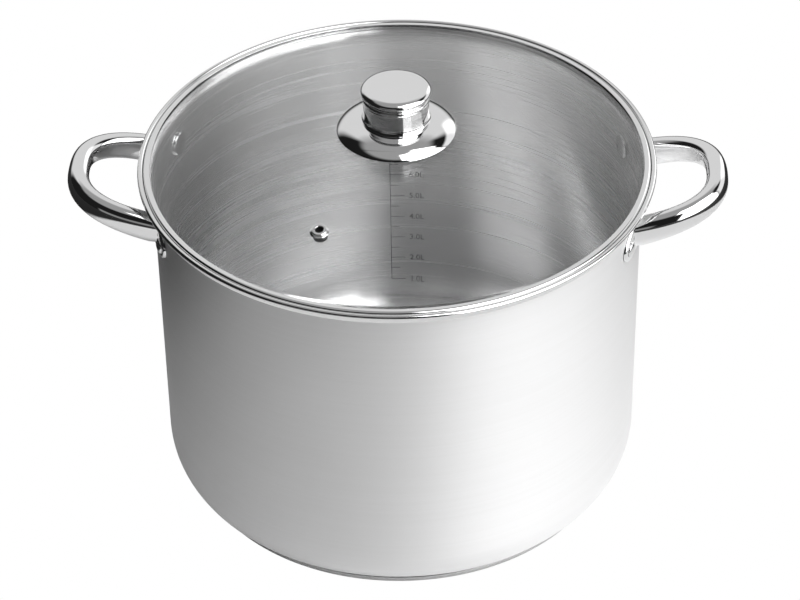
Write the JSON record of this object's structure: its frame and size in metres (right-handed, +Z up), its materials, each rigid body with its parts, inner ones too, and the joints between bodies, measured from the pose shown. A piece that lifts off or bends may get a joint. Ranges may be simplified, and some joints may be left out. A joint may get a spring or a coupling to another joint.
{
  "type": "water bath canner",
  "caption": "Tall stock pot for water bath canning: satin steel body with a rolled rim, tubular side handles, domed glass lid with a vent and a knob, and a low perforated jar rack.",
  "frame": {"origin": "centre of the base's underside, on the surface that the pot stands on", "axes": "+Z up along the pot's axis, +X to the right-hand handle seen from the front, +Y to the rear, where the volume scale is"},
  "size_m": [0.3794, 0.2978, 0.2614],
  "materials": {
    "satin_steel": "satin, fine brushed lines round the pot",
    "base_steel": "bright turned steel",
    "polished_steel": "mirror polished stainless steel",
    "knob_satin": "soft polished steel with a lightly satin top",
    "rivet_steel": "plain bright steel",
    "rack_steel": "plain stamped steel",
    "aluminium": "plain mill finish",
    "clear_glass": "clear tempered glass",
    "silicone": "matt black silicone"
  },
  "bodies": {
    "pot": {"pot_body": "satin_steel", "base_cap": "base_steel", "base_core": "aluminium", "handle_left": "polished_steel", "handle_right": "polished_steel", "bracket_left_front": "polished_steel", "bracket_left_rear": "polished_steel", "bracket_right_front": "polished_steel", "bracket_right_rear": "polished_steel", "rivet_left_front": "rivet_steel", "rivet_left_rear": "rivet_steel", "rivet_right_front": "rivet_steel", "rivet_right_rear": "rivet_steel"},
    "lid": {"lid_glass": "clear_glass", "lid_band": "polished_steel", "vent_eyelet": "polished_steel", "vent_washer": "silicone", "knob_skirt": "polished_steel", "knob_neck": "polished_steel", "knob_cap": "knob_satin", "knob_insert": "aluminium", "knob_gasket_upper": "silicone", "knob_gasket_lower": "silicone", "knob_washer": "rivet_steel", "knob_screw": "rivet_steel"},
    "rack": {"jar_rack": "rack_steel"}
  },
  "joints": [
    {"name": "lid_lift", "type": "slide", "parent": "pot", "child": "lid", "axis": [0, 0, 1], "range_m": [0, 0.12]},
    {"name": "rack_lift", "type": "slide", "parent": "pot", "child": "rack", "axis": [0, 0, 1], "range_m": [0, 0.19]}
  ]
}
